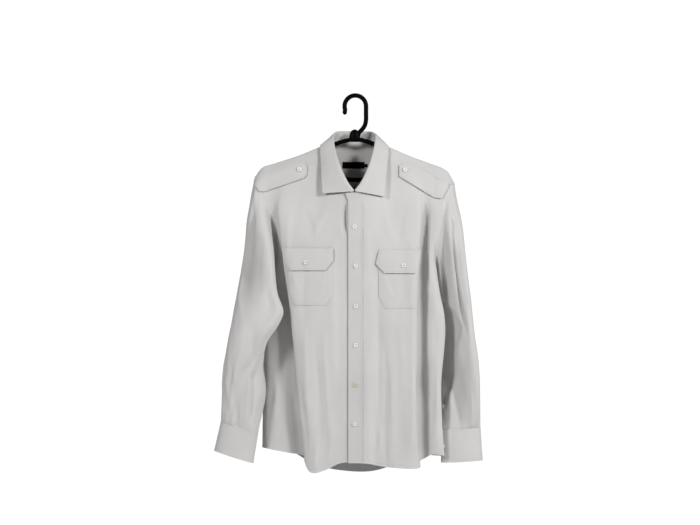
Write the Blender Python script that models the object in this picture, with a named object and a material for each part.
"""A long-sleeved button-up shirt with epaulettes and flap pockets, hung on a plastic hanger.

Metres, Z up. The front faces -Y, the wearer's left is +X. The origin is the inner top of the
hook, where the hanger hangs. Every cloth panel is a smooth sheet drawn through fold lines whose
places come from the tables below, in millimetres, and is then given its wall.
"""

import math

import bpy
import numpy as np
from mathutils import Vector
from mathutils.bvhtree import BVHTree

MM = 0.001

# Walls and gaps
ONE_PLY = 1.1 * MM
TWO_PLY = 1.5 * MM
SEAM = 0.32 * MM
LAP = 0.4 * MM
LOOSE_LAP = 0.8 * MM

# Hanger
TUBE_R = 5.2
HOOK_R = 25.2
HOOK_TUBE_R = 5.4
WRAP_R = 6.7

# Buttons
BUTTON_R = 5.6
BUTTON_THICK = 2.4
CUFF_BUTTON_R = 5.0

# Placket of each sleeve: its width, and its first column and rows on the sleeve
STRIP_WIDE = 21
RIGHT_STRIP = (10, 4)
LEFT_STRIP = (10, 4)

# Heights of the sections of the body, in mm below the hook
LEVELS = (-262, -320, -406, -520, -680, -870)
ARMPIT = -406
ROWS_ABOVE_ARMPIT = 7
ROWS_BELOW_ARMPIT = 10

# Front of the wearer's right side. Columns: fold line, columns of faces to the next line,
# height of its top and of the hem.
RIGHT_LINES = (
    ("opening", 2, -244.5, -854),
    ("neck_front", 2, -227, -854),
    ("neck_side", 2, -180, -872),
    ("neck_corner", 2, -150, -878),
    ("crown", 2, -165, -875),
    ("fold_edge", 2, -177.5, -849),
    ("fold_valley", 2, -186.5, -843),
    ("side_ridge", 1, -194.5, -834),
    ("side", 1, -200.5, -826),
    ("seam", 0, -205.8, -824),
)
# Across: x of each fold line at its top and at the six levels.
RIGHT_X = (
    (16.5, 16.5, 16.5, 16.5, 16.5, 16.5, 16.5),
    (-30, -32, -35, -36, -36, -34, -30),
    (-57, -66, -75, -80, -78, -76, -73),
    (-67, -93, -105, -112, -108, -102, -95),
    (-115, -130, -138, -145, -133, -118, -107),
    (-160, -180, -174, -167, -151, -135, -117),
    (-185, -185, -177, -163, -142, -126, -110),
    (-205, -190, -182, -178, -168, -166, -160),
    (-219, -194, -186, -190, -203, -205, -207),
)
# Out: y of each fold line at its top and at the six levels.
RIGHT_Y = (
    (-52, -53.5, -56.5, -58, -58, -56, -52.5),
    (-51.5, -53.5, -57.5, -60, -60, -58, -54.5),
    (-37.5, -49, -56, -60, -60.5, -59, -57),
    (-21, -43, -53, -58, -60, -59.5, -58),
    (-20.5, -40, -50, -55, -57, -57, -55),
    (-20.5, -37, -45, -45, -45, -45, -43),
    (-20.5, -31, -33, -24, -15, -13, -12),
    (-20, -27, -23, -13, -6, -11, -13),
    (-20, -26, -17, -7, 1, -3, -5),
)
# Armhole, front half, and side seam of the wearer's right: z, x, y.
RIGHT_ARMHOLE = (
    (-205.8, -230.3, -19.5),
    (-228, -214, -25),
    (-262, -199, -25),
    (-290, -192, -20),
    (-320, -189, -16),
    (-350, -189, -12),
    (-378, -191.5, -8),
    (-406, -201, 6),
)
RIGHT_SEAM = ((-520, -212.5, 16), (-680, -217.5, 12), (-870, -219.5, 10))

# Front of the wearer's left side, from the opening to the side seam, as above.
LEFT_LINES = (
    ("opening", 2, -244.5, -855),
    ("neck_front", 2, -229, -856),
    ("neck_side", 2, -181, -860),
    ("neck_corner", 2, -150, -865),
    ("ridge", 2, -165, -866),
    ("valley", 2, -179, -852),
    ("side_ridge", 2, -190, -837),
    ("edge", 2, -200, -840),
    ("seam", 0, -206, -843),
)
LEFT_X = (
    (-16.5, -16.5, -16.5, -16.5, -16.5, -16.5, -16.5),
    (28, 31, 34, 36, 36, 34, 30),
    (57, 64, 68, 68, 58, 50, 48),
    (67, 86, 96, 101, 90, 85, 82),
    (112, 158, 157, 149, 145.5, 144.5, 150),
    (150, 164, 160, 153, 150, 150, 156),
    (180, 175, 173, 173, 178, 175, 182),
    (205, 186, 183, 184, 208, 199, 209),
)
LEFT_Y = (
    (-56.5, -57.8, -60.5, -62, -62, -60, -56.5),
    (-55, -57.5, -61.5, -63.5, -63.5, -61.5, -58),
    (-38.5, -50.5, -57.5, -61, -60, -56, -53),
    (-21, -44, -54, -59, -60, -59, -57),
    (-20.5, -41, -48, -52, -54, -54, -52),
    (-20.5, -31, -28, -24, -24, -24, -24),
    (-20, -34, -38, -38, -35, -33, -32),
    (-20, -34, -38, -30, -31, -33, -33),
)
LEFT_ARMHOLE = (
    (-206, 226, -19.5),
    (-228, 209, -27),
    (-262, 199, -33),
    (-290, 195, -37),
    (-320, 190, -38),
    (-350, 185, -35),
    (-380, 184, -24),
    (-406, 190, 4),
)
LEFT_SEAM = ((-520, 199, 10), (-680, 184, 12), (-870, 180, 12))

# Back, from the wearer's right side seam to the left one. Same columns; the faces to the next
# line are shared out by the yoke.
BACK_LINES = (
    ("seam_right", -235, -824),
    ("side_right", -231, -828),
    ("ridge_right", -228, -838),
    ("trough_right", -226, -868),
    ("middle_right", -225, -882),
    ("middle_left", -225, -883),
    ("trough_left", -226, -866),
    ("ridge_left", -228, -844),
    ("side_left", -231, -838),
    ("seam_left", -235, -843),
)
BACK_X = (
    (),
    (-198, -189, -184, -180, -190, -188, -190),
    (-152, -150, -150, -150, -152, -152, -150),
    (-92, -92, -95, -98, -96, -94, -95),
    (-32, -32, -34, -36, -34, -32, -34),
    (40, 40, 38, 36, 40, 42, 40),
    (98, 98, 96, 94, 98, 100, 98),
    (150, 148, 146, 148, 152, 148, 150),
    (196, 186, 180, 176, 190, 180, 188),
    (),
)
BACK_Y = (
    (),
    (30, 34, 38, 34, 37, 37, 37),
    (35, 38, 42, 43, 43, 43, 42),
    (39, 40, 39, 36, 36, 38, 38),
    (41, 42, 43, 43, 44, 44, 44),
    (41, 42, 42, 39, 38, 38, 37),
    (39, 41, 42, 43, 43, 43, 43),
    (35, 38, 40, 39, 38, 38, 38),
    (30, 33, 35, 30, 32, 31, 32),
    (),
)
RIGHT_ARMHOLE_BACK = (
    (-235, -222, 26),
    (-262, -211, 33),
    (-290, -205, 36.5),
    (-320, -202, 34),
    (-350, -200, 28),
    (-380, -201, 16.5),
    (-406, -201, 6),
)
LEFT_ARMHOLE_BACK = (
    (-235, 220, 26),
    (-262, 210, 32),
    (-290, 204, 36),
    (-320, 197, 36),
    (-350, 191, 33),
    (-380, 188, 23),
    (-406, 190, 4),
)
BACK_ROWS_ABOVE = 6

# Crest of the shoulders, middle of the cloth: x, z. The armhole ends are the first and last.
CREST = (
    (-236, -189),
    (-229, -176),
    (-221, -167),
    (-214, -162),
    (-206, -159.4),
    (-177, -150.8),
    (-136, -137.3),
    (-104, -124.6),
    (-82, -115.4),
    (-68, -108.4),
    (68, -110.0),
    (82, -117.2),
    (104, -127.4),
    (136, -140.4),
    (177, -155.4),
    (203, -165.2),
    (211, -169.3),
    (218, -175),
    (224, -184),
    (231, -198),
)
# Back neckline: x, y, z.
NECKLINE = (
    (-68, 6.7, -115.1),
    (-56, 20, -113),
    (-32, 29, -114),
    (0, 32, -114.5),
    (32, 29, -114),
    (56, 20, -114),
    (68, 6.7, -116.7),
)
NECK_COLUMNS = 8
NECK_CORNER_X = 68

# Collar. Rows go round from the opening on the wearer's right to the middle of the back, and on
# to the opening on the wearer's left. Columns: share of the neckline, roll x, y, z, edge x, y, z.
COLLAR = (
    (0.030, -3.8, -57.5, -219.5, -76, -51.5, -227),
    (0.095, -15, -58, -204.5, -77.5, -45.5, -205),
    (0.170, -31, -49.5, -171, -79, -36.5, -176),
    (0.260, -43.5, -33, -132, -80.5, -24, -143),
    (0.335, -49.5, -10, -97, -82, -6, -112.5),
    (0.410, -44, 14, -79.5, -68, 29, -119),
    (0.500, 0, 27, -77.5, 0, 44, -123),
    (0.590, 41, 14, -80.5, 66, 29, -120),
    (0.665, 45.5, -10, -97, 77.5, -6, -114),
    (0.740, 39, -33, -132, 76, -24, -144),
    (0.830, 26, -49.5, -172, 72.5, -37, -178),
    (0.905, 11, -58, -203, 69, -47, -212),
    (0.970, -1.2, -61, -219.5, 67, -52, -234.5),
)
# Tops of the two ends of the stand, the under one and the one that laps over it: x, y, z.
STAND_END_UNDER = (12, -52.5, -229)
STAND_END_OVER = (-23, -58.5, -226)
LEAF_ROWS = 7
ROLL_RISE = 4.0
ROLL_HALF = 2.6

# Sleeves. Columns: height, x of the outer and of the inner side, y of the middle, half depth,
# slant of the section from front to back, power of its corners.
RIGHT_SLEEVE = (
    (-190, -243, -196, 0, 34, 0.0, 1.0),
    (-230, -248.5, -196, -4, 44, -0.1, 0.95),
    (-290, -255, -194, -9, 46, -0.35, 0.9),
    (-350, -261, -190, -9, 45, -0.62, 0.9),
    (-406, -270, -187, -13, 40, -0.8, 0.9),
    (-460, -278, -181, -34, 36, -0.45, 0.85),
    (-506, -285, -168, -50, 32, -0.12, 0.85),
    (-535, -290, -180, -51, 35, -0.05, 0.85),
    (-570, -297, -204, -48, 37, 0.0, 0.85),
    (-620, -305, -215, -39, 38, 0.1, 0.85),
    (-690, -311, -209, -30, 36, 0.1, 0.85),
    (-765, -312, -225, -26, 30, 0.1, 0.9),
)
LEFT_SLEEVE = (
    (-190, 240, 188, 0, 34, 0.0, 1.0),
    (-230, 243, 190, -2, 44, 0.1, 0.95),
    (-290, 250, 190, -2, 47, 0.3, 0.9),
    (-350, 256, 190, -2, 45, 0.6, 0.9),
    (-406, 262, 194, 4, 38, 0.7, 0.9),
    (-470, 270, 198, 9, 38, 0.95, 0.85),
    (-547, 278, 199, 6, 36, 0.95, 0.85),
    (-625, 288, 196, 5, 36, 0.85, 0.85),
    (-700, 292, 196, 3, 34, 0.7, 0.85),
    (-790, 292, 203, -2, 28, 0.3, 0.9),
)
# Sleeve folds. Columns: angle round the sleeve in degrees (180 outside, 270 front, 360 inside),
# half width in degrees, depth in mm, top, bottom, turn in degrees over its length.
RIGHT_SLEEVE_FOLDS = (
    (236, 20, 6, -215, -500, 10),
    (316, 18, 7, -430, -560, -40),
    (262, 16, 6, -520, -640, 50),
    (300, 18, 8, -600, -740, -70),
    (120, 26, 7, -250, -700, 10),
    (60, 24, 6, -470, -740, 0),
)
LEFT_SLEEVE_FOLDS = (
    (240, 22, 9, -205, -560, 6),
    (300, 20, 5, -300, -520, 10),
    (322, 20, 6, -560, -700, -30),
    (262, 20, 7, -600, -780, 20),
    (120, 26, 7, -250, -700, 10),
    (60, 24, 6, -470, -740, 0),
)
# Edges where the front of a sleeve folds under, and what lies inside it is set back: height,
# x of the edge, depth.
RIGHT_TUCK = (
    (-575, -205, 0),
    (-600, -219, 6),
    (-628, -233, 9),
    (-655, -246, 10),
    (-719, -244, 9),
    (-755, -236, 0),
)
LEFT_TUCK = (
    (-440, 190, 0),
    (-470, 205, 8),
    (-505, 234, 15),
    (-540, 250, 17),
    (-600, 238, 18),
    (-650, 238, 17),
    (-700, 220, 12),
    (-745, 203, 0),
)
TUCK_WIDE = 14
SLEEVE_RINGS = 16
SEAM_RIDGE = 6.0
# Cuffs. Columns: seam middle x, y, z, tilt in degrees, half width, half depth, height, lap
# column, flare.
RIGHT_CUFF = (-271, -28, -774, 18, 45.5, 21, 72, 9, 1.05)
LEFT_CUFF = (248.5, 0, -778, -3, 46, 20, 78, 10, 1.06)
CUFF_ROWS = 3
CUFF_LAP_COLUMNS = 2

# What lies on the fronts. Rows from top to bottom: height, left side, right side, lift.
PLACKET = ((-249, -16.3, 17), (-262, -16.3, 17), (-520, -16.3, 17.2), (-854.5, -16.3, 17.2))
RIGHT_POCKET = (
    (-360, -156, -52.3, 0),
    (-400, -157.5, -52, 0),
    (-462, -152, -51.6, 0),
    (-488, -140, -67.5, 0),
)
RIGHT_FLAP = (
    (-355, -169.5, -52, 2.0),
    (-383, -166, -51.7, 1.8),
    (-406.5, -151, -69, 1.8),
)
LEFT_POCKET = (
    (-366, 54.2, 150, 0),
    (-400, 54.2, 147.5, 0),
    (-467, 54.2, 145, 0),
    (-495, 69, 138, 0),
)
LEFT_FLAP = (
    (-359, 54.8, 153, 0),
    (-391, 47.5, 149.5, 1.6),
    (-413, 68.5, 140, 2.0),
)
# Epaulettes. Rows from the armhole to the point: x, lower z, upper z, lift.
RIGHT_EPAULETTE = (
    (-236, -203, -185, 0.2),
    (-226, -221.5, -182, 0.9),
    (-213, -222, -177, 1.2),
    (-180, -211, -165.5, 1.4),
    (-140, -197, -152.3, 1.8),
    (-121, -190.5, -151, 1.4),
    (-113.5, -182, -161, 1.0),
)
LEFT_EPAULETTE = (
    (218.5, -209, -201.5, 0.6),
    (212, -221, -198.5, 1.4),
    (203, -238, -195.5, 2.6),
    (192, -237.3, -193, 2.4),
    (184, -235.5, -186, 1.2),
    (161, -221.9, -170.5, 1.4),
    (131, -203.5, -154.8, 1.8),
    (117, -195, -154.5, 1.6),
    (103, -186.5, -161.5, 1.2),
)
LABEL = ((-149.5, -30, 21.5), (-165, -30, 21.5))
SIZE_TAB = ((-154.5, 22, 29), (-162, 22, 29))

# Buttons: name, x, z, what carries it.
PLACKET_BUTTONS = (
    (-1.6, -304.5),
    (1.4, -395.6),
    (1.4, -489.4),
    (1.4, -579.6),
    (0.0, -671.9),
    (-1.6, -763.3),
)
RIGHT_FLAP_BUTTON = (-115, -388)
LEFT_FLAP_BUTTON = (112.3, -395)
RIGHT_EPAULETTE_BUTTON = (-131, -170)
LEFT_EPAULETTE_BUTTON = (116.6, -171)

# Hanger. Middle line of the left half, x and z, from under the hub to the outer end.
RIGHT_ARM = (
    (0, -97.5),
    (-12, -98.8),
    (-30, -103.2),
    (-47, -109),
    (-68, -117.2),
    (-104, -131.2),
    (-136, -143.9),
    (-177, -157.4),
    (-201, -166),
)
LEFT_ARM = (
    (0, -97.5),
    (12, -98.9),
    (30, -103.8),
    (47, -110.2),
    (68, -119),
    (104, -134),
    (136, -147),
    (177, -163),
    (198, -172.8),
)
BAR_RIGHT = (-201, -190.3)
BAR_LEFT = (198, -197)

COLOURS = {
    "shirt_cloth": ((0.60, 0.58, 0.565, 1), 0.85, 0.0),
    "button": ((0.78, 0.77, 0.73, 1), 0.25, 0.0),
    "hanger_plastic": ((0.012, 0.012, 0.012, 1), 0.3, 0.0),
    "label": ((0.01, 0.01, 0.01, 1), 0.8, 0.0),
}


def clear_scene():
    for item in list(bpy.data.objects):
        bpy.data.objects.remove(item)


def material(name):
    """A plain material with the part's colour, roughness and metallic value."""
    found = bpy.data.materials.get(name)
    if found:
        return found
    colour, rough, metal = COLOURS[name]
    made = bpy.data.materials.new(name)
    made.use_nodes = True
    shader = made.node_tree.nodes["Principled BSDF"]
    shader.inputs["Base Color"].default_value = colour
    shader.inputs["Roughness"].default_value = rough
    shader.inputs["Metallic"].default_value = metal
    made.diffuse_color = colour
    return made


def add_object(name, points, faces, slot, smooth=True):
    mesh = bpy.data.meshes.new(name)
    mesh.from_pydata([tuple(p) for p in np.asarray(points, float)], [], faces)
    mesh.update()
    if smooth:
        mesh.shade_smooth()
        mesh.set_sharp_from_angle(angle=math.radians(50))
    mesh.materials.append(material(slot))
    made = bpy.data.objects.new(name, mesh)
    bpy.context.scene.collection.objects.link(made)
    return made


def curve(knots, values, at):
    """Cubic through values at rising knots. The slope at a knot is the mean of those beside it."""
    knots = np.asarray(knots, float)
    values = np.asarray(values, float)
    at = np.asarray(at, float)
    step = np.diff(knots)
    rise = np.diff(values, axis=0) / step[:, None]
    slope = np.empty_like(values)
    slope[0] = rise[0]
    slope[-1] = rise[-1]
    total = (step[:-1] + step[1:])[:, None]
    slope[1:-1] = (rise[:-1] * step[1:, None] + rise[1:] * step[:-1, None]) / total
    i = np.clip(np.searchsorted(knots, at, side="right") - 1, 0, len(knots) - 2)
    h = step[i][:, None]
    t = ((at - knots[i]) / step[i])[:, None]
    start = (1 + 2 * t) * (1 - t) ** 2 * values[i] + t * (1 - t) ** 2 * h * slope[i]
    end = t**2 * (3 - 2 * t) * values[i + 1] + t**2 * (t - 1) * h * slope[i + 1]
    return start + end


def across(points, places):
    """Points of a smooth curve through the fold lines' points at places such as 2.5."""
    gaps = np.linalg.norm(np.diff(points, axis=0), axis=1) ** 0.6
    knots = np.concatenate([[0], np.cumsum(gaps)])
    whole = np.clip(np.floor(places).astype(int), 0, len(points) - 2)
    at = knots[whole] + (places - whole) * gaps[whole]
    return curve(knots, points, at)


def line_points(top, xs, ys, heights):
    """Points down one fold line at these heights, from its top and its places at the levels."""
    levels = np.concatenate([[top], LEVELS]).astype(float)
    values = np.column_stack([xs, ys])
    found = curve(-levels, values, -np.asarray(heights, float))
    return np.column_stack([found, heights])


def seam_points(armhole, seam, heights):
    """Points down the armhole to the armpit, and from there down the side seam."""
    upper = np.array(armhole, float)
    lower = np.array((armhole[-1],) + tuple(seam), float)
    heights = np.asarray(heights, float)
    above = curve(-upper[:, 0], upper[:, 1:], -heights)
    below = curve(-lower[:, 0], lower[:, 1:], -heights)
    found = np.where(heights[:, None] >= ARMPIT, above, below)
    return np.column_stack([found, heights])


def heights_of(top, hem, above, below):
    """Heights of the rows of one line: above the armpit, then below it down to the hem."""
    upper = np.linspace(top, ARMPIT, above + 1)
    lower = np.linspace(ARMPIT, hem, below + 1)
    return np.concatenate([upper, lower[1:]])


def front_grid(lines, xs, ys, armhole, seam):
    """A front: rows down its fold lines, columns from the opening to the armhole and side."""
    table = []
    for (name, steps, top, hem), x, y in zip(lines[:-1], xs, ys):
        heights = heights_of(top, hem, ROWS_ABOVE_ARMPIT, ROWS_BELOW_ARMPIT)
        table.append(line_points(top, x, y, heights))
    heights = heights_of(lines[-1][2], lines[-1][3], ROWS_ABOVE_ARMPIT, ROWS_BELOW_ARMPIT)
    table.append(seam_points(armhole, seam, heights))
    table = np.array(table)
    places = [np.arange(row[1]) / row[1] + i for i, row in enumerate(lines[:-1])]
    places = np.concatenate(places + [[len(lines) - 1.0]])
    return np.array([across(table[:, row], places) for row in range(table.shape[1])])


def column_of(lines, name):
    """The column of faces at which a named fold line lies."""
    count = 0
    for row in lines:
        if row[0] == name:
            return count
        count += row[1]
    return count


def back_grid(top_x):
    """The back, with a column under each of the yoke's, whose places are top_x."""
    table = []
    for (name, top, hem), x, y in zip(BACK_LINES, BACK_X, BACK_Y):
        heights = heights_of(top, hem, BACK_ROWS_ABOVE, ROWS_BELOW_ARMPIT)
        if name == "seam_right":
            table.append(seam_points(RIGHT_ARMHOLE_BACK, RIGHT_SEAM, heights))
        elif name == "seam_left":
            table.append(seam_points(LEFT_ARMHOLE_BACK, LEFT_SEAM, heights))
        else:
            table.append(line_points(top, x, y, heights))
    table = np.array(table)
    fine = np.linspace(0, len(table) - 1, 400)
    reach = across(table[:, 0], fine)[:, 0]
    share = (top_x - top_x[0]) / (top_x[-1] - top_x[0])
    places = np.interp(reach[0] + share * (reach[-1] - reach[0]), reach, fine)
    places[0] = 0
    places[-1] = len(table) - 1
    return np.array([across(table[:, row], places) for row in range(table.shape[1])])


def crest_at(x):
    table = np.array(CREST, float)
    return curve(table[:, 0], table[:, 1:], np.atleast_1d(x))[0, 0]


def over_the_tube(front, back, x):
    """Ten points from the front seam over the round of the hanger's arm to the back seam."""
    top = crest_at(x)
    middle = np.array([0.0, top - WRAP_R])
    out = []
    for end, sign in ((front, -1), (back, 1)):
        reach = np.array([end[1], end[2]]) - middle
        far = np.hypot(*reach)
        down = math.atan2(reach[0] * sign, reach[1])
        out.append(min(down - math.acos(WRAP_R / far), math.radians(88)))
    turns = np.linspace(-out[0], out[1], 5)
    round_part = [(x, WRAP_R * math.sin(t), middle[1] + WRAP_R * math.cos(t)) for t in turns]
    first = np.array(round_part[0])
    last = np.array(round_part[-1])
    leg_front = (np.array(front) + first) / 2 + np.array([0, -0.8, 0])
    legs_back = [last + (np.array(back) - last) * t + np.array([0, b, 0])
                 for t, b in ((0.34, 2.6), (0.68, 2.4))]
    return np.array([front, leg_front] + round_part + legs_back + [back])


def yoke_grid(right_top, left_top, back_top):
    """Rows from the front seams over the shoulders to the back seam, columns from the wearer's
    right armhole to the left one. The neck columns start at row 6."""
    rights = right_top[::-1]
    count_r = len(rights)
    count_l = len(left_top)
    columns = []
    for i, front in enumerate(rights):
        back = back_top[i]
        x = CREST[0][0] if i == 0 else (front[0] + back[0]) / 2
        x = -NECK_CORNER_X if i == count_r - 1 else x
        columns.append(over_the_tube(front, back, x))
    necks = np.array(NECKLINE, float)
    places = np.linspace(0, len(necks) - 1, NECK_COLUMNS + 1)[1:-1]
    starts = across(necks, places)
    for i, start in enumerate(starts):
        back = back_top[count_r + i]
        column = np.full((10, 3), np.nan)
        for row, t in ((6, 0.0), (7, 0.34), (8, 0.68), (9, 1.0)):
            bulge = 6.0 * t * (1 - t)
            column[row] = start + (back - start) * t + np.array([0, bulge, 0])
        columns.append(column)
    for i, front in enumerate(left_top):
        back = back_top[count_r + len(starts) + i]
        x = CREST[-1][0] if i == count_l - 1 else (front[0] + back[0]) / 2
        x = NECK_CORNER_X if i == 0 else x
        columns.append(over_the_tube(front, back, x))
    return np.array(columns).transpose(1, 0, 2), count_r, count_l


def quads_of(rows, columns, keep=None, closed=False):
    """Four-sided faces of a grid of points kept row by row. keep(row, column) leaves some out."""
    faces = []
    for r in range(rows - 1):
        for c in range(columns if closed else columns - 1):
            if keep and not keep(r, c):
                continue
            n = (c + 1) % columns
            faces.append((r * columns + c, (r + 1) * columns + c,
                          (r + 1) * columns + n, r * columns + n))
    return np.array(faces)


class Sheet:
    """One piece of cloth as the middle surface of its wall, in mm."""

    def __init__(self, name, grid, thick, keep=None, closed=False, turn=False):
        rows, columns = grid.shape[:2]
        self.name = name
        self.grid = grid
        self.thick = thick
        self.faces = quads_of(rows, columns, keep, closed)
        self.points = grid.reshape(-1, 3).copy()
        if turn:
            self.faces = self.faces[:, ::-1]
        self.out = None

    def face_normals(self):
        p = self.points[self.faces]
        n = np.cross(p[:, 2] - p[:, 0], p[:, 3] - p[:, 1])
        return n / np.maximum(np.linalg.norm(n, axis=1, keepdims=True), 1e-12)


def sew(sheets):
    """Gives each corner the direction of its wall. Corners that pieces share along a seam get
    one direction, so the walls meet there square to each other."""
    keys = np.concatenate([np.round(s.points[s.faces].reshape(-1, 3), 3) for s in sheets])
    normals = np.concatenate([np.repeat(s.face_normals(), 4, axis=0) for s in sheets])
    _, index = np.unique(keys, axis=0, return_inverse=True)
    index = index.reshape(-1)
    total = np.zeros((index.max() + 1, 3))
    np.add.at(total, index, normals)
    length = np.linalg.norm(total, axis=1, keepdims=True)
    mean = total / np.maximum(length, 1e-9)
    lean = np.ones(len(total))
    np.minimum.at(lean, index, (mean[index] * normals).sum(axis=1))
    mean = mean / np.clip(lean, 0.68, 1)[:, None]
    start = 0
    for s in sheets:
        count = s.faces.size
        s.out = np.zeros_like(s.points)
        s.out[s.faces.reshape(-1)] = mean[index[start:start + count]]
        start += count


def draw_in(sheet, by):
    """Moves each open edge in by a distance, within the surface, so that a gap is left."""
    edges = {}
    normals = sheet.face_normals()
    for number, face in enumerate(sheet.faces):
        for a, b in zip(face, np.roll(face, -1)):
            edges[(a, b)] = number
    moves = {}
    open_edges = [(a, b) for a, b in edges if (b, a) not in edges]
    for a, b in open_edges:
        along = sheet.points[b] - sheet.points[a]
        inward = np.cross(normals[edges[(a, b)]], along)
        size = np.linalg.norm(inward)
        if size < 1e-9:
            continue
        for corner in (a, b):
            moves.setdefault(corner, []).append(inward / size)
    for corner, found in moves.items():
        total = np.sum(found, axis=0)
        size = (total @ total) / max(len(found), 1)
        sheet.points[corner] += by * total / max(size, 0.5)
    return open_edges


def wall(sheet, slot="shirt_cloth"):
    """The closed solid of a sheet: both faces and a strip round every open edge."""
    open_edges = draw_in(sheet, SEAM / MM / 2)
    used = np.unique(sheet.faces)
    number = np.full(len(sheet.points), -1)
    number[used] = np.arange(len(used))
    half = sheet.thick / MM / 2
    outer = sheet.points[used] + sheet.out[used] * half
    inner = sheet.points[used] - sheet.out[used] * half
    count = len(used)
    faces = [tuple(int(number[v]) for v in face) for face in sheet.faces]
    solid = list(faces)
    solid += [tuple(v + count for v in face[::-1]) for face in faces]
    for a, b in open_edges:
        a, b = int(number[a]), int(number[b])
        solid.append((b, a, a + count, b + count))
    points = np.concatenate([outer, inner]) * MM
    solid = [part for face in solid for part in in_triangles(points, face)]
    return add_object(sheet.name, points, solid, slot)


def in_triangles(points, face):
    """Cuts a four-sided face along its shorter diagonal."""
    a, b, c, d = face
    if np.linalg.norm(points[a] - points[c]) <= np.linalg.norm(points[b] - points[d]):
        return [(a, b, c), (a, c, d)]
    return [(a, b, d), (b, c, d)]


def sleeve_section(table, angle, height):
    """Points of the sleeve's level sections at these angles and heights."""
    rows = np.array(table, float)
    s = curve(-rows[:, 0], rows[:, 1:], -np.asarray(height, float))
    outer, inner, mid, deep, slant, power = s.T
    half = (inner - outer) / 2
    c = np.cos(angle)
    n = np.sin(angle)
    x = half * np.sign(c) * np.abs(c) ** power
    y = deep * np.sign(n) * np.abs(n) ** power + slant * np.abs(x) * np.sign(c)
    return np.column_stack([(inner + outer) / 2 + x, mid + y, height])


def sleeve_angle(table, points):
    """The angle at which each armhole point stands round the sleeve's section at its height."""
    rows = np.array(table, float)
    s = curve(-rows[:, 0], rows[:, 1:], -points[:, 2])
    outer, inner, mid, deep, slant, power = s.T
    half = (inner - outer) / 2
    x = (points[:, 0] - (inner + outer) / 2) / half
    y = (points[:, 1] - mid - slant * (points[:, 0] - (inner + outer) / 2) * np.sign(half)) / deep
    return np.arctan2(y, x)


def fade(t):
    t = np.clip(t, 0, 1)
    return t * t * (3 - 2 * t)


def fold_depth(folds, angle, height):
    """Depth of the sleeve's folds at these angles and heights."""
    total = np.zeros(len(angle))
    for place, width, depth, top, bottom, turn in folds:
        along = (top - height) / (top - bottom)
        centre = math.radians(place) + math.radians(turn) * np.clip(along, 0, 1)
        off = (angle - centre + math.pi) % (2 * math.pi) - math.pi
        ends = fade(along / 0.3) * fade((1 - along) / 0.3)
        total += depth * ends * np.exp(-((off / math.radians(width)) ** 2))
    return total


def tuck_depth(tuck, place, angle, deep):
    """How far the front of a sleeve is set back inside the edge where it folds under. It never
    takes up more than two thirds of the room to the sleeve's back."""
    rows = np.array(tuck, float)
    edge = np.interp(-place[:, 2], -rows[:, 0], rows[:, 1])
    most = np.interp(-place[:, 2], -rows[:, 0], rows[:, 2])
    side = np.sign(rows[0, 1])
    inside = fade(side * (edge - place[:, 0]) / TUCK_WIDE + 0.3)
    front = np.clip(-np.sin(angle), 0, 1)
    return inside * np.minimum(most, 1.33 * deep * front)


def sleeve_grid(loop, table, folds, tuck, cuff):
    """A sleeve: rings from the armhole to the cuff seam, with as many columns as the armhole.
    Also gives the angle of its first column at the cuff."""
    count = len(loop)
    pit = int(np.argmin(loop[:, 2]))
    angle = sleeve_angle(table, loop)
    angle = np.unwrap(np.concatenate([[math.pi], angle[1:]]))
    even = angle[pit] + 2 * math.pi * (np.arange(count) - pit) / count
    side = np.sign(loop[:, 0].mean())
    low = fade((loop[:, 2].max() - loop[:, 2]) / 60)
    ridge = loop + np.column_stack([side * (2.5 + (SEAM_RIDGE - 2.5) * low), 0 * low,
                                    -5 + 4 * low])
    cx, cy, cz, tilt, wide, deep, high, lap, flare = cuff
    rings = [loop, ridge]
    for ring in range(1, SLEEVE_RINGS + 1):
        v = (ring / SLEEVE_RINGS) ** 1.15
        turned = angle.copy()
        height = ridge[:, 2].copy()
        for _ in range(6):
            place = sleeve_section(table, turned, height)
            seam_z = cz + math.tan(math.radians(tilt)) * (cx - place[:, 0])
            height = ridge[:, 2] + (seam_z - ridge[:, 2]) * v
            down = ridge[:, 2] - height
            turned = angle + (even - angle) * fade(down / 230)
        place = sleeve_section(table, turned, height)
        base = sleeve_section(table, angle, ridge[:, 2])
        hold = 1 - fade(down / 110)
        rows = np.array(table, float)
        s = curve(-rows[:, 0], rows[:, 1:], -height)
        half = (s[:, 1] - s[:, 0]) / 2
        nx = np.cos(turned) * s[:, 3] * np.sign(half)
        ny = np.sin(turned) * np.abs(half)
        size = np.hypot(nx, ny)
        deep_fold = fold_depth(folds, turned, height) * fade(down / 60)
        place[:, 0] -= deep_fold * nx / size
        place[:, 1] -= deep_fold * ny / size
        place[:, 1] += tuck_depth(tuck, place, turned, s[:, 3])
        place[:, :2] += (ridge - base)[:, :2] * hold[:, None]
        if ring == SLEEVE_RINGS or v > 0.8:
            share = fade((v - 0.8) / 0.2)
            target = cuff_ring(cuff, turned, 0.0)
            place = place + (target - place) * share
        rings.append(place)
    return np.array(rings), even[0]


def cuff_ring(cuff, angle, along):
    """A ring of the cuff: an oval across its axis, at a distance along it."""
    cx, cy, cz, tilt, wide, deep, high, lap, flare = cuff
    lean = math.radians(tilt)
    side = -np.sign(cx)
    grow = 1 + (flare - 1) * along / high
    c = np.cos(angle)
    n = np.sin(angle)
    u = side * wide * grow * np.sign(c) * np.abs(c) ** 0.9
    y = cy + deep * grow * np.sign(n) * np.abs(n) ** 0.9
    x = cx + u * math.cos(lean) - along * math.sin(lean) * 0.6
    z = cz - u * math.sin(lean) - along * math.cos(lean)
    return np.column_stack([x, y, z])


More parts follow.
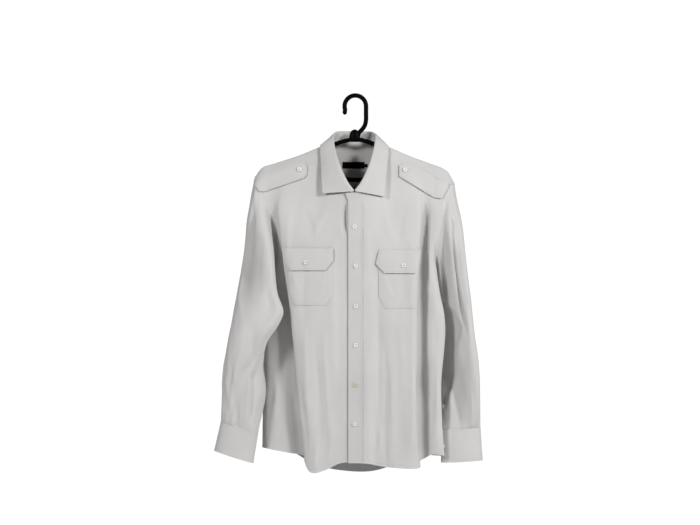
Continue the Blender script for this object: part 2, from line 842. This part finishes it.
def cuff_grid(cuff, start, count):
    """A cuff: a strip that goes once round and laps over its own start."""
    lap = cuff[7]
    thick = TWO_PLY / MM
    turns = np.arange(count + CUFF_LAP_COLUMNS + 1)
    angle = start + 2 * math.pi * (turns + lap) / count
    lift = np.where(turns > count, (thick + LAP / MM) * fade((turns - count + 0.4) / 1.2), 0)
    lift = np.where(turns == count, (thick + LAP / MM), lift)
    grid = []
    for row in range(CUFF_ROWS + 1):
        ring = cuff_ring(cuff, angle, cuff[6] * row / CUFF_ROWS)
        out = np.column_stack([-np.sign(cuff[0]) * np.cos(angle), np.sin(angle) * 1.0,
                               np.zeros(len(angle))])
        grid.append(ring + out * lift[:, None])
    return np.array(grid)


def neckline_of(right, left, yoke, count_r, count_l):
    """Every corner of the neckline, from the wearer's right opening round to the left."""
    corner_r = column_of(RIGHT_LINES, "neck_corner")
    corner_l = column_of(LEFT_LINES, "neck_corner")
    ring = [right[0, c] for c in range(corner_r)]
    ring += [yoke[r, count_r - 1] for r in range(7)]
    ring += [yoke[6, c] for c in range(count_r, yoke.shape[1] - count_l)]
    ring += [yoke[r, yoke.shape[1] - count_l] for r in range(6, -1, -1)]
    ring += [left[0, c] for c in range(corner_l - 1, -1, -1)]
    return np.array(ring)


def collar_grids(neckline):
    """The stand from the neckline to its top, and the leaf from there over the roll."""
    step = np.linalg.norm(np.diff(neckline, axis=0), axis=1)
    share = np.concatenate([[0], np.cumsum(step)]) / step.sum()
    table = np.array(COLLAR, float)
    inside = (share > 0.02) & (share < 0.98)
    at = np.clip(share, table[0, 0], table[-1, 0])
    at[np.argmax(inside)] = table[0, 0]
    at[len(at) - 1 - np.argmax(inside[::-1])] = table[-1, 0]
    found = curve(table[:, 0], table[:, 1:], at)
    roll = found[:, :3]
    edge = found[:, 3:]
    outward = roll - np.array([0, -15, 0])
    outward[:, 2] = 0
    along = np.gradient(roll, axis=0)
    flat = np.column_stack([along[:, 1], -along[:, 0], np.zeros(len(along))])
    flat /= np.maximum(np.linalg.norm(flat, axis=1, keepdims=True), 1e-9)
    flat *= np.sign((flat * outward).sum(axis=1))[:, None]
    top = roll.copy()
    drop = neckline - roll
    drop /= np.linalg.norm(drop, axis=1, keepdims=True)
    top = roll + drop * ROLL_RISE
    first = np.argmax(inside)
    last = len(share) - 1 - np.argmax(inside[::-1])
    top[:first] = STAND_END_UNDER
    top[last + 1:] = STAND_END_OVER
    middle = (neckline + top) / 2
    stand = np.array([neckline, middle, top])
    span = slice(first, last + 1)
    rows = [top[span], top[span] - drop[span] * (ROLL_RISE - 1.6) + flat[span] * 0.2]
    rows.append(roll[span] + flat[span] * ROLL_HALF)
    outer = roll[span] + flat[span] * (2 * ROLL_HALF) + drop[span] * 3.0
    rows.append(outer)
    reach = edge[span] - outer
    for row in range(1, LEAF_ROWS - 2):
        t = row / (LEAF_ROWS - 3)
        bow = 2.2 * math.sin(math.pi * t)
        rows.append(outer + reach * t + flat[span] * bow)
    return stand, np.array(rows)


def tree_of(made):
    """A search tree of an object's faces."""
    mesh = made.data
    points = [v.co.copy() for v in mesh.vertices]
    return BVHTree.FromPolygons(points, [tuple(p.vertices) for p in mesh.polygons])


def hit(trees, x, z, side=-1, deepest=0.0):
    """The first point met on the cloth from the front (or from the back, side 1). What lies
    behind the deepest y doesn't count."""
    best = None
    for tree in trees:
        place, normal, _, far = tree.ray_cast(Vector((x, side * 1.0, z)), Vector((0, -side, 0)))
        if place is None or (place.y - deepest) * side < 0:
            continue
        if best is None or far < best[1]:
            best = (place, far)
    return None if best is None else best[0]


PROBES = [(i / 6, j / 6) for i in range(7) for j in range(7 - i)]


def clearance(trees, a, b, c, side, deepest):
    """How far the middle of a face stands off the cloth behind it, along Y."""
    worst = 1.0
    for u, v in PROBES:
        p = a + (b - a) * u + (c - a) * v
        place = hit(trees, p[0] * MM, p[2] * MM, side, deepest)
        if place is not None:
            worst = min(worst, (place[1] - p[1] * MM) * -side)
    return worst


def filled(values):
    """Gives each place off the cloth the value of the nearest place on it in its row."""
    out = values.copy()
    for row in out:
        known = np.flatnonzero(~np.isnan(row))
        for i in np.flatnonzero(np.isnan(row)):
            row[i] = row[known[np.argmin(np.abs(known - i))]] if len(known) else np.nan
    for i in range(1, len(out)):
        if np.isnan(out[i]).any():
            out[i] = out[i - 1]
    return out


def laid_on(name, trees, outline, thick, slot="shirt_cloth", columns=6, rows=None, side=-1,
            upright=True, gap=LAP, deepest=0.0):
    """A piece that lies on the cloth. Its outline's rows give its sides, and every point is
    found on the cloth and moved out until the whole piece just clears it."""
    table = np.array(outline, float)
    if table.shape[1] == 3:
        table = np.column_stack([table, np.zeros(len(table))])
    places = []
    for i in range(len(table) - 1):
        cuts = rows[i] if rows else 1
        places += [i + k / cuts for k in range(cuts)]
    places.append(len(table) - 1.0)
    grid = []
    for place in places:
        i = min(int(place), len(table) - 2)
        t = place - i
        line = table[i] * (1 - t) + table[i + 1] * t
        for c in range(columns + 1):
            s = line[1] + (line[2] - line[1]) * c / columns
            x, z = (s, line[0]) if upright else (line[0], s)
            found = hit(trees, x * MM, z * MM, side, deepest)
            y = found[1] / MM if found is not None else np.nan
            grid.append((x, y, z, side * line[3]))
    grid = np.array(grid).reshape(len(places), columns + 1, 4)
    half = thick / MM / 2
    grid[..., 1] = filled(grid[..., 1]) + grid[..., 3] + side * (half + gap / MM)
    grid = grid[..., :3]
    sheet = Sheet(name, grid, thick, turn=(side > 0) != (not upright))
    facing = sheet.face_normals()[:, 1].mean() * side
    if facing < 0:
        sheet.faces = sheet.faces[:, ::-1]
    for _ in range(8):
        sew([sheet])
        under = sheet.points - sheet.out * half
        short = np.zeros(len(sheet.points))
        for face in sheet.faces:
            a, b, c, d = (under[v] for v in face)
            low = min(clearance(trees, a, b, c, side, deepest),
                      clearance(trees, c, d, a, side, deepest))
            short[face] = np.maximum(short[face], (gap - low) / MM)
        if short.max() <= 1e-3:
            break
        sheet.points[:, 1] += side * (np.maximum(short, 0) + 0.01)
    return wall(sheet, slot)


def button_shape(radius):
    """Points and faces of a round button with a raised rim. It stands on its seat along Z."""
    sides = 14
    profile = ((0.80, 0.0), (1.0, 0.32), (1.0, 0.72), (0.82, 1.0))
    points = [Vector((0, 0, 0))]
    for share, high in profile:
        for k in range(sides):
            t = 2 * math.pi * k / sides
            points.append(Vector((radius * share * math.cos(t), radius * share * math.sin(t),
                                  BUTTON_THICK * high)))
    points.append(Vector((0, 0, BUTTON_THICK * 0.78)))
    faces = []
    for k in range(sides):
        n = (k + 1) % sides
        faces.append((0, 1 + n, 1 + k))
        for ring in range(3):
            a = 1 + ring * sides
            b = a + sides
            faces.append((a + k, a + n, b + n, b + k))
        faces.append((1 + 3 * sides + k, 1 + 3 * sides + n, len(points) - 1))
    return points, faces


def button_on(name, tree, place, out, radius=BUTTON_R):
    """A button on a curved piece, at a point in mm and facing out, set just clear of it."""
    normal = Vector(out).normalized()
    turn = Vector((0, 0, 1)).rotation_difference(normal)
    points, faces = button_shape(radius)
    lift = 0.35
    for _ in range(60):
        world = [Vector(place) + turn @ p + normal * lift for p in points]
        low = 9.0
        for p in world[:29]:
            found = tree.ray_cast((p + normal * 8) * MM, -normal)
            if found[0] is not None:
                low = min(low, (p - found[0] / MM).dot(normal))
        if low >= LAP / MM * 0.9:
            break
        lift += 0.1
    return add_object(name, [tuple(p * MM) for p in world], faces, "button")


def button(name, trees, x, z, radius=BUTTON_R, side=-1):
    """A button on the fronts, set just clear of the cloth that carries it."""
    facing = Vector((0, side, 0))
    place = hit(trees, x * MM, z * MM, side)
    near = []
    for dx, dz in ((4, 0), (-4, 0), (0, 4), (0, -4)):
        p = hit(trees, (x + dx) * MM, (z + dz) * MM, side)
        near.append(p if p is not None else place)
    normal = (near[0] - near[1]).cross(near[2] - near[3])
    if normal.length < 1e-12:
        normal = facing
    normal.normalize()
    if normal.dot(facing) < 0:
        normal = -normal
    turn = Vector((0, 0, 1)).rotation_difference(normal)
    points, faces = button_shape(radius)
    lift = 0.35
    for _ in range(40):
        world = [place / MM + turn @ p + normal * lift for p in points]
        low = 1.0
        for p in world[:29]:
            under = hit(trees, p.x * MM, p.z * MM, side)
            if under is not None:
                low = min(low, (under.y - p.y * MM) * -side)
        if low >= LAP * 0.8:
            break
        lift += 0.1
    return add_object(name, [tuple(p * MM) for p in world], faces, "button")


def tube_loop(points, radius, sides, closed):
    """Points and faces of a round tube along a path in the hanger's plane."""
    path = np.array(points, float)
    count = len(path)
    corners = []
    for i in range(count):
        before = path[(i - 1) % count] if closed or i else path[i]
        after = path[(i + 1) % count] if closed or i < count - 1 else path[i]
        along = after - before
        along /= np.linalg.norm(along)
        normal = np.array([along[2], 0, -along[0]])
        for k in range(sides):
            t = 2 * math.pi * (k + 0.5) / sides
            corners.append(path[i] + radius * (normal * math.cos(t)
                                               + np.array([0, 1, 0]) * math.sin(t)))
    faces = []
    for i in range(count if closed else count - 1):
        j = (i + 1) % count
        for k in range(sides):
            n = (k + 1) % sides
            faces.append((i * sides + k, i * sides + n, j * sides + n, j * sides + k))
    if not closed:
        for i, turned in ((0, True), (count - 1, False)):
            cap = [i * sides + k for k in range(sides)]
            faces.append(tuple(cap[::-1] if turned else cap))
    return corners, faces


def smooth_path(points, spacing):
    path = np.array(points, float)
    fine = across(path, np.linspace(0, len(path) - 1, 40 * len(path)))
    length = np.concatenate([[0], np.cumsum(np.linalg.norm(np.diff(fine, axis=0), axis=1))])
    at = np.linspace(0, length[-1], max(3, int(length[-1] / spacing)))
    return np.column_stack([np.interp(at, length, fine[:, k]) for k in range(fine.shape[1])])


def end_turn(arm_end, bar_end, side):
    """The round end of the hanger, from the arm down to the bar."""
    middle = (arm_end[1] + bar_end[1]) / 2
    radius = (arm_end[1] - bar_end[1]) / 2
    x = (arm_end[0] + bar_end[0]) / 2
    turns = np.radians(np.arange(60, -61, -30))
    return [(x + side * (2 + radius * math.cos(t)), middle + radius * math.sin(t))
            for t in turns]


def build_hanger():
    """One moulded piece: the frame with its bar, the hub and the hook."""
    right = smooth_path(RIGHT_ARM[1:], 20)
    left = smooth_path(LEFT_ARM[1:], 20)
    path = [tuple(p) for p in right]
    path += end_turn(RIGHT_ARM[-1], BAR_RIGHT, -1)
    path += [BAR_RIGHT]
    path += [(-140, -191.4), (-70, -192.3), (0, -193.2), (70, -194.2), (140, -195.1)]
    path += [BAR_LEFT]
    path += end_turn(LEFT_ARM[-1], BAR_LEFT, 1)[::-1]
    path += [tuple(p) for p in left[::-1]]
    frame = [(x, 0, z) for x, z in path]
    corners, faces = tube_loop(frame, TUBE_R, 10, True)
    base = add_object("hanger", np.array(corners) * MM, faces, "hanger_plastic")
    middle = HOOK_TUBE_R - HOOK_R
    hook = []
    for t in np.radians(np.arange(196, -1, -15)):
        hook.append((HOOK_R * math.cos(t), 0, middle + HOOK_R * math.sin(t)))
    hook[0:0] = [(-24.9, 0, middle - 15)]
    hook += [(25.2, 0, middle - 16), (25.0, 0, middle - 34), (22.0, 0, middle - 46),
             (15.0, 0, middle - 56), (8.6, 0, middle - 63), (6.0, 0, middle - 72),
             (4.0, 0, -97.5)]
    hook = smooth_path([(x, y, z) for x, y, z in hook], 6.5)
    corners, faces = tube_loop(hook, HOOK_TUBE_R, 12, False)
    hook_part = add_object("hook_tube", np.array(corners) * MM, faces, "hanger_plastic")
    profile = ((0, -74.5), (4.5, -75.6), (8.5, -78.6), (11.2, -84), (12.3, -90), (12.3, -97),
               (10, -101), (0, -102.2))
    sides = 14
    corners = [(-1.5, 0, profile[0][1])]
    for r, z in profile[1:-1]:
        for k in range(sides):
            t = 2 * math.pi * (k + 0.3) / sides
            corners.append((-1.5 + r * math.cos(t), 0.62 * r * math.sin(t), z))
    corners.append((-1.5, 0, profile[-1][1]))
    faces = []
    rings = len(profile) - 2
    for k in range(sides):
        n = (k + 1) % sides
        faces.append((0, 1 + k, 1 + n))
        for ring in range(rings - 1):
            a = 1 + ring * sides
            b = a + sides
            faces.append((a + k, b + k, b + n, a + n))
        faces.append((1 + (rings - 1) * sides + k, len(corners) - 1, 1 + (rings - 1) * sides + n))
    hub = add_object("hub", np.array(corners) * MM, faces, "hanger_plastic")
    for other in (hub, hook_part):
        other.hide_render = True
        other.display_type = "WIRE"
        join = base.modifiers.new("join_" + other.name, "BOOLEAN")
        join.operation = "UNION"
        join.solver = "EXACT"
        join.object = other
    return base


def build_shirt():
    right = front_grid(RIGHT_LINES, RIGHT_X, RIGHT_Y, RIGHT_ARMHOLE, RIGHT_SEAM)
    left = front_grid(LEFT_LINES, LEFT_X, LEFT_Y, LEFT_ARMHOLE, LEFT_SEAM)
    corner_r = column_of(RIGHT_LINES, "neck_corner")
    corner_l = column_of(LEFT_LINES, "neck_corner")
    right_top = right[0, corner_r:]
    left_top = left[0, corner_l:]
    neck_x = np.linspace(-67, 67, NECK_COLUMNS + 1)[1:-1]
    top_x = np.concatenate([right_top[::-1, 0], neck_x, left_top[:, 0]])
    back = back_grid(top_x)
    yoke, count_r, count_l = yoke_grid(right_top, left_top, back[0])
    first_neck = count_r - 1
    last_neck = yoke.shape[1] - count_l

    def in_yoke(row, column):
        return row >= 6 or column < first_neck or column >= last_neck

    neckline = neckline_of(right, left, yoke, count_r, count_l)
    stand, leaf = collar_grids(neckline)
    loops = {}
    for side, front, column in (("right", right, 0), ("left", left, -1)):
        over = yoke[:, column]
        armhole_front = front[:ROWS_ABOVE_ARMPIT + 1, -1]
        armhole_back = back[:BACK_ROWS_ABOVE + 1, column]
        crest = 4
        loop = [over[r] for r in range(crest, 0, -1)]
        loop += [armhole_front[r] for r in range(ROWS_ABOVE_ARMPIT + 1)]
        loop += [armhole_back[r] for r in range(BACK_ROWS_ABOVE - 1, -1, -1)]
        loop += [over[r] for r in range(8, crest, -1)]
        loops[side] = np.array(loop)
    sleeve_r, start_r = sleeve_grid(loops["right"], RIGHT_SLEEVE, RIGHT_SLEEVE_FOLDS, RIGHT_TUCK,
                                    RIGHT_CUFF)
    sleeve_l, start_l = sleeve_grid(loops["left"], LEFT_SLEEVE, LEFT_SLEEVE_FOLDS, LEFT_TUCK,
                                    LEFT_CUFF)
    cuff_r = cuff_grid(RIGHT_CUFF, start_r, len(loops["right"]))
    cuff_l = cuff_grid(LEFT_CUFF, start_l, len(loops["left"]))
    sheets = {
        "front_right": Sheet("front_right", right, ONE_PLY, turn=True),
        "front_left": Sheet("front_left", left, ONE_PLY),
        "back": Sheet("back", back, ONE_PLY, turn=True),
        "yoke": Sheet("yoke", yoke, ONE_PLY, keep=in_yoke, turn=True),
        "collar_stand": Sheet("collar_stand", stand, TWO_PLY),
        "collar_leaf": Sheet("collar_leaf", leaf, TWO_PLY),
        "sleeve_right": Sheet("sleeve_right", sleeve_r, ONE_PLY, closed=True),
        "sleeve_left": Sheet("sleeve_left", sleeve_l, ONE_PLY, closed=True, turn=True),
        "cuff_right": Sheet("cuff_right", cuff_r, TWO_PLY),
        "cuff_left": Sheet("cuff_left", cuff_l, TWO_PLY, turn=True),
    }
    return sheets


def strip_on_sleeve(name, sheet, first, rows):
    """The placket over the slit above a cuff, made from the sleeve's own points, moved out.
    Gives its middle line from top to bottom and the way it faces."""
    count = sheet.grid.shape[1]
    columns = [first % count, (first + 1) % count]
    total = sheet.grid.shape[0]
    lift = ONE_PLY / MM + LOOSE_LAP / MM + 0.7
    grid = []
    for row in range(total - rows - 1, total):
        a, b = (sheet.points[row * count + c] + sheet.out[row * count + c] * lift
                for c in columns)
        far = np.linalg.norm(b - a)
        middle = (a + b) / 2
        reach = (b - a) / far * min(STRIP_WIDE / 2, far * 0.45)
        grid.append([middle - reach, middle, middle + reach])
    grid = np.array(grid)
    grid[-1] += (grid[-2] - grid[-1]) * 0.14
    strip = Sheet(name, grid, ONE_PLY)
    out = sheet.out[(total - 2) * count + columns[0]]
    if strip.face_normals().mean(axis=0) @ out < 0:
        strip.faces = strip.faces[:, ::-1]
    sew([strip])
    made = wall(strip)
    facing = strip.out.reshape(grid.shape)[:, 1]
    return made, grid[:, 1], facing


def cuff_button_place(sheet):
    """The middle of the cuff's lapped end and the way it faces there."""
    rows, columns = sheet.grid.shape[:2]
    points = sheet.grid.reshape(rows, columns, 3)
    out = sheet.out.reshape(rows, columns, 3)
    column = columns - 2
    row = rows // 2
    place = (points[row, column] + points[row - 1, column]) / 2
    facing = out[row, column] + out[row - 1, column]
    return place + facing / np.linalg.norm(facing) * TWO_PLY / MM / 2, facing


def main():
    clear_scene()
    sheets = build_shirt()
    sew(list(sheets.values()))
    made = {name: wall(sheet) for name, sheet in sheets.items()}
    trees = {name: tree_of(item) for name, item in made.items()}
    right = [trees["front_right"], trees["yoke"]]
    left = [trees["front_left"], trees["yoke"]]

    def lay(name, under, outline, thick=ONE_PLY, **how):
        made[name] = laid_on(name, under, outline, thick, **how)
        trees[name] = tree_of(made[name])

    lay("placket", left, PLACKET, columns=2, rows=(1, 6, 8))
    loose = {"gap": LOOSE_LAP, "columns": 8}
    lay("pocket_right", right, RIGHT_POCKET, rows=(2, 2, 1), **loose)
    lay("pocket_left", left, LEFT_POCKET, rows=(2, 3, 1), **loose)
    lay("pocket_flap_right", right + [trees["pocket_right"]], RIGHT_FLAP, TWO_PLY, rows=(2, 1),
        **loose)
    lay("pocket_flap_left", left + [trees["pocket_left"]], LEFT_FLAP, TWO_PLY, rows=(1, 1),
        **loose)
    lay("epaulette_right", right + [trees["sleeve_right"]], RIGHT_EPAULETTE, TWO_PLY, columns=3,
        rows=(1, 2, 2, 2, 1, 1), upright=False)
    lay("epaulette_left", left + [trees["sleeve_left"]], LEFT_EPAULETTE, TWO_PLY, columns=3,
        upright=False)
    for number, (x, z) in enumerate(PLACKET_BUTTONS):
        button(f"placket_button_{number + 1}", [trees["placket"]], x, z)
    button("pocket_button_right", [trees["pocket_flap_right"]], *RIGHT_FLAP_BUTTON)
    button("pocket_button_left", [trees["pocket_flap_left"]], *LEFT_FLAP_BUTTON)
    button("epaulette_button_right", [trees["epaulette_right"]], *RIGHT_EPAULETTE_BUTTON)
    button("epaulette_button_left", [trees["epaulette_left"]], *LEFT_EPAULETTE_BUTTON)
    inside = [trees["yoke"]]
    lay("label", inside, LABEL, ONE_PLY, slot="label", columns=2, rows=(1,), deepest=0.2)
    lay("size_tab", inside, SIZE_TAB, ONE_PLY, slot="label", columns=1, rows=(1,), deepest=0.2)
    for side, (first, rows) in (("right", RIGHT_STRIP), ("left", LEFT_STRIP)):
        name = "sleeve_placket_" + side
        made[name], line, facing = strip_on_sleeve(name, sheets["sleeve_" + side], first, rows)
        middle = (line[1] + line[2]) / 2
        button_on("sleeve_button_" + side, tree_of(made[name]), middle, facing[1] + facing[2],
                  CUFF_BUTTON_R)
        cuff = sheets["cuff_" + side]
        place, facing = cuff_button_place(cuff)
        button_on("cuff_button_" + side, trees["cuff_" + side], place, facing)
    build_hanger()
    return made


main()
